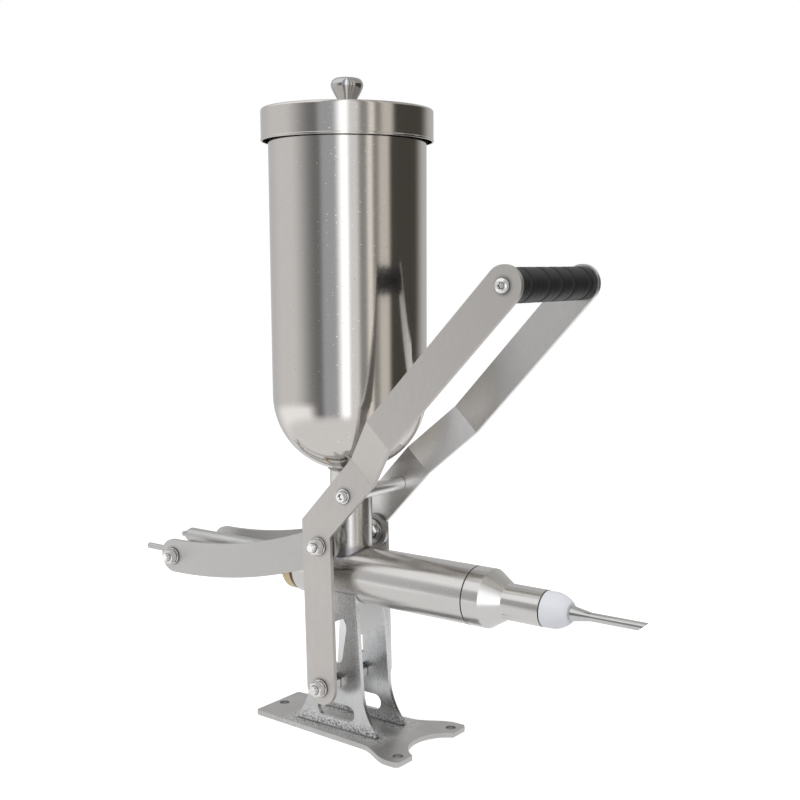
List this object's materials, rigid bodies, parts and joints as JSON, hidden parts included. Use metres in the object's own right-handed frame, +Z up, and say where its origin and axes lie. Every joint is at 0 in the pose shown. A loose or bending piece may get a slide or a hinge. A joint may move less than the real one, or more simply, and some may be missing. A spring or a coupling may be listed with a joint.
{
  "type": "lever-operated donut filler machine",
  "caption": "Stainless lever donut filler: tall lidded hopper on a piston barrel with injection needle, on a bracketed base plate.",
  "frame": {"origin": "point on the base plate's underside directly below the hopper's axis", "axes": "+X along the barrel towards the needle, +Z up along the hopper's axis, Y across between the two cheeks"},
  "size_m": [0.5802, 0.1528, 0.5969],
  "materials": {
    "satin_steel": "satin brushed stainless steel",
    "polished_steel": "turned and polished stainless steel",
    "arm_steel": "fine matt stainless strip",
    "fastener_steel": "machined stainless fasteners",
    "weld_steel": "cleaned grey weld bead",
    "dark_steel": "dull dark steel",
    "black_rubber": "matt black rubber",
    "white_nylon": "smooth white nylon",
    "ivory_plastic": "turned ivory plastic",
    "amber_seal": "soft amber seal rings"
  },
  "bodies": {
    "frame": {"base_plate": "satin_steel", "near_cheek": "satin_steel", "far_cheek": "satin_steel", "front_web": "satin_steel", "rear_web": "satin_steel", "foot_welds": "weld_steel", "barrel": "polished_steel", "hopper_shell": "polished_steel", "neck_weld": "weld_steel", "joint_ring": "black_rubber", "nozzle_adapter": "polished_steel", "tip_ring": "black_rubber", "nylon_nose": "white_nylon", "needle": "polished_steel", "lever_axle": "fastener_steel", "axle_washers": "fastener_steel", "axle_nuts": "fastener_steel", "axle_locknuts": "fastener_steel"},
    "lid": {"lid": "polished_steel", "lid_knob": "polished_steel", "knob_screw": "fastener_steel"},
    "piston": {"piston_head": "ivory_plastic", "piston_seals": "amber_seal", "back_plate": "dark_steel", "plate_screws": "fastener_steel", "push_bar": "satin_steel", "guide_rod": "satin_steel", "crosshead": "satin_steel", "cross_shaft": "fastener_steel", "shaft_washers": "fastener_steel", "shaft_nuts": "fastener_steel", "shaft_inner_washers": "fastener_steel", "shaft_inner_nuts": "fastener_steel"},
    "links": {"near_link": "arm_steel", "far_link": "arm_steel"},
    "lever": {"near_arm": "arm_steel", "far_arm": "arm_steel", "cross_tie": "satin_steel", "tie_washers": "fastener_steel", "tie_screws": "fastener_steel", "grip_core": "satin_steel", "grip_sleeve": "black_rubber", "grip_screws": "fastener_steel", "link_bolts": "fastener_steel", "link_washers": "fastener_steel", "link_wide_washers": "fastener_steel", "link_nuts": "fastener_steel"}
  },
  "joints": [
    {"name": "lever_hinge", "type": "hinge", "parent": "frame", "child": "lever", "pos_m": [-0.003, 0, 0.0505], "axis": [0, 1, 0], "range_deg": [0, 34]},
    {"name": "piston_slide", "type": "slide", "parent": "frame", "child": "piston", "axis": [1, 0, 0], "range_m": [0, 0.0731]},
    {"name": "link_pivot", "type": "hinge", "parent": "piston", "child": "links", "pos_m": [-0.199, 0, 0.146], "axis": [0, 1, 0], "range_deg": [0, 5.53]},
    {"name": "lid_lift", "type": "slide", "parent": "frame", "child": "lid", "axis": [0, 0, 1], "range_m": [0, 0.08]}
  ],
  "couplings": [
    {"joint": "piston_slide", "follows": "lever_hinge", "m_per_rad": 0.123},
    {"joint": "link_pivot", "follows": "lever_hinge", "ratio": 0.1625}
  ]
}
